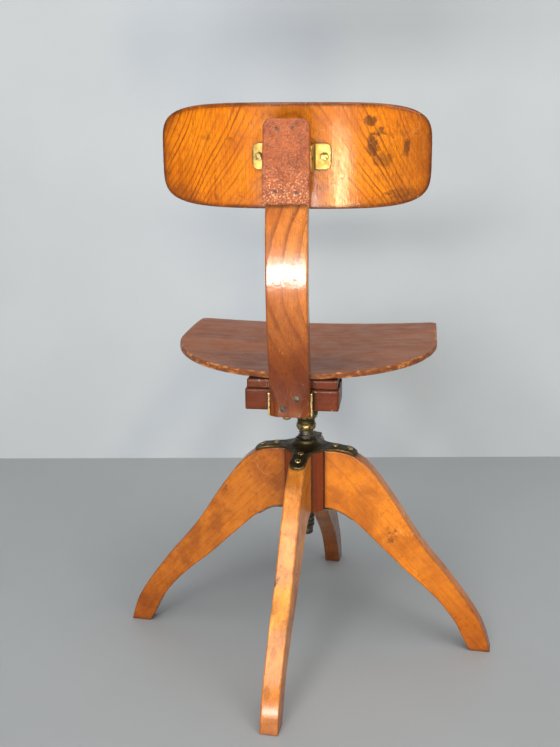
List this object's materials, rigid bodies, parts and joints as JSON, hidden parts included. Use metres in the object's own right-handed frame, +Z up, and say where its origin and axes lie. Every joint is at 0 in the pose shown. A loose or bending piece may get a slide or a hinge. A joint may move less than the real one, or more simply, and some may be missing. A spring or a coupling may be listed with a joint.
{
  "type": "drafting chair",
  "caption": "Wooden drafting chair: four sabre legs on a hub, screw-raised swivelling ply seat, and a small tilting backrest on a bent wooden support.",
  "frame": {"origin": "on the floor, on the axis of the spindle", "axes": "+Z up, the sitter faces -Y, so the back support stands at +Y and the sitter's right is -X"},
  "size_m": [0.599, 0.599, 0.8631],
  "materials": {
    "honey_beech": "aged honey varnish, worn, open dark grain",
    "red_mahogany": "glossy dark red stain, chipped arrises",
    "seat_ply": "worn matt red-brown ply, bare worn edge",
    "bronzed_iron": "olive bronzed casting, bright worn edges",
    "dark_iron": "oiled dark iron",
    "brass": "dull aged brass",
    "leather": "rough red-brown hide, varnished"
  },
  "bodies": {
    "base": {"leg_rear": "honey_beech", "leg_right": "honey_beech", "leg_front": "honey_beech", "leg_left": "honey_beech", "hub_block": "red_mahogany", "spindle_nut": "brass", "top_spider": "bronzed_iron", "bottom_spider": "dark_iron", "arm_screw_1": "brass", "arm_screw_2": "brass", "arm_screw_3": "brass", "arm_screw_4": "brass", "arm_screw_5": "brass", "arm_screw_6": "brass", "arm_screw_7": "brass", "arm_screw_8": "brass", "strap_screw_1": "dark_iron", "strap_screw_2": "dark_iron", "strap_screw_3": "dark_iron", "strap_screw_4": "dark_iron"},
    "spindle": {"spindle": "dark_iron"},
    "seat": {"spine": "honey_beech", "rear_block": "red_mahogany", "seat_beam": "red_mahogany", "rear_riser": "red_mahogany", "front_riser": "red_mahogany", "seat_panel": "seat_ply", "spindle_holder": "bronzed_iron", "spine_bracket": "bronzed_iron", "spine_end_screw": "bronzed_iron", "set_screw": "dark_iron", "flange_screw_1": "dark_iron", "flange_screw_2": "dark_iron", "flange_screw_3": "dark_iron", "flange_screw_4": "dark_iron", "rear_seat_screw_1": "dark_iron", "rear_seat_screw_2": "dark_iron", "front_seat_screw_1": "dark_iron", "front_seat_screw_2": "dark_iron", "spine_screw_1": "dark_iron", "spine_screw_2": "dark_iron", "cap_nail_1": "dark_iron", "cap_nail_2": "dark_iron", "cap_nail_3": "dark_iron", "cap_nail_4": "dark_iron", "cap_pad": "leather"},
    "backrest": {"backrest_panel": "honey_beech", "ear_left": "brass", "ear_right": "brass", "ear_bolt_left": "brass", "ear_bolt_right": "brass", "ear_nut_left": "brass", "ear_nut_right": "brass", "tilt_pin": "dark_iron"}
  },
  "joints": [
    {"name": "seat_lift", "type": "slide", "parent": "base", "child": "spindle", "axis": [0, 0, 1], "range_m": [-0.00701, 0.11201]},
    {"name": "seat_turn", "type": "hinge", "parent": "spindle", "child": "seat", "pos_m": [0, 0, 0.4], "axis": [0, 0, 1], "range_deg": [-360, 5760]},
    {"name": "back_tilt", "type": "hinge", "parent": "seat", "child": "backrest", "pos_m": [0, 0.204, 0.7945], "axis": [1, 0, 0], "range_deg": [-8, 8]}
  ],
  "couplings": [
    {"joint": "seat_lift", "follows": "seat_turn", "m_per_rad": 0.0011141}
  ]
}
